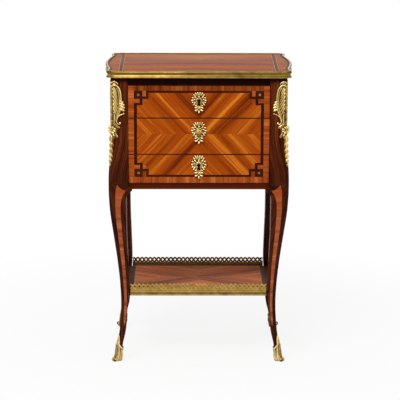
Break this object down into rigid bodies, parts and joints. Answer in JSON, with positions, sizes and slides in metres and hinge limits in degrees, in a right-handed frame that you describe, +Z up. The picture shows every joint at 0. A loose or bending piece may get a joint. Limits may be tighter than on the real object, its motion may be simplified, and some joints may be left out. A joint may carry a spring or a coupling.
{
  "type": "chiffonier table",
  "caption": "Small veneered drawer table on cabriole legs, with lipped drawers stacked edge to edge, a low galleried shelf, gilt mounts and a gilt-rimmed shaped top.",
  "frame": {"origin": "on the floor under the middle of the table", "axes": "+Z up, -Y towards the drawer fronts, +X to the right as seen from the front"},
  "size_m": [0.456, 0.32, 0.725],
  "materials": {
    "tulipwood": "quarter-matched striped veneer, waxed and polished",
    "amaranth": "dark red-brown veneer, waxed and polished",
    "oak": "plain unpolished oak",
    "gilt_bronze": "chased and gilt, bright on the ridges and brown in the hollows",
    "iron": "filed and darkened"
  },
  "bodies": {
    "case": {"table_top": "tulipwood", "shelf_board": "tulipwood", "side_panel_left": "tulipwood", "side_panel_right": "tulipwood", "back_panel": "tulipwood", "leg_front_left": "amaranth", "leg_front_right": "amaranth", "leg_back_left": "amaranth", "leg_back_right": "amaranth", "front_top_rail": "amaranth", "front_apron": "amaranth", "dust_board_upper": "oak", "dust_board_lower": "oak", "case_bottom": "oak", "guide_upper_left": "oak", "guide_upper_right": "oak", "guide_middle_left": "oak", "guide_middle_right": "oak", "guide_lower_left": "oak", "guide_lower_right": "oak", "top_rim_front": "gilt_bronze", "top_rim_back": "gilt_bronze", "top_rim_left": "gilt_bronze", "top_rim_right": "gilt_bronze", "gallery_front": "gilt_bronze", "gallery_back": "gilt_bronze", "gallery_left": "gilt_bronze", "gallery_right": "gilt_bronze", "chute_front_left": "gilt_bronze", "chute_front_right": "gilt_bronze", "chute_back_left": "gilt_bronze", "chute_back_right": "gilt_bronze", "sabot_front_left": "gilt_bronze", "sabot_front_right": "gilt_bronze", "sabot_back_left": "gilt_bronze", "sabot_back_right": "gilt_bronze"},
    "upper_drawer": {"drawer_front_upper": "tulipwood", "drawer_side_upper_left": "oak", "drawer_side_upper_right": "oak", "drawer_back_upper": "oak", "drawer_bottom_upper": "oak", "escutcheon_upper": "gilt_bronze", "lock_case_upper": "iron"},
    "middle_drawer": {"drawer_front_middle": "tulipwood", "drawer_side_middle_left": "oak", "drawer_side_middle_right": "oak", "drawer_back_middle": "oak", "drawer_bottom_middle": "oak", "escutcheon_middle": "gilt_bronze"},
    "lower_drawer": {"drawer_front_lower": "tulipwood", "drawer_side_lower_left": "oak", "drawer_side_lower_right": "oak", "drawer_back_lower": "oak", "drawer_bottom_lower": "oak", "escutcheon_lower": "gilt_bronze", "lock_case_lower": "iron"},
    "upper_bolt": {"lock_bolt_upper": "iron"},
    "lower_bolt": {"lock_bolt_lower": "iron"}
  },
  "joints": [
    {"name": "upper_drawer_slide", "type": "slide", "parent": "case", "child": "upper_drawer", "axis": [0, -1, 0], "range_m": [0, 0.2]},
    {"name": "middle_drawer_slide", "type": "slide", "parent": "case", "child": "middle_drawer", "axis": [0, -1, 0], "range_m": [0, 0.2]},
    {"name": "lower_drawer_slide", "type": "slide", "parent": "case", "child": "lower_drawer", "axis": [0, -1, 0], "range_m": [0, 0.2]},
    {"name": "upper_bolt_slide", "type": "slide", "parent": "upper_drawer", "child": "upper_bolt", "axis": [0, 0, 1], "range_m": [0, 0.007]},
    {"name": "lower_bolt_slide", "type": "slide", "parent": "lower_drawer", "child": "lower_bolt", "axis": [0, 0, 1], "range_m": [0, 0.007]}
  ]
}
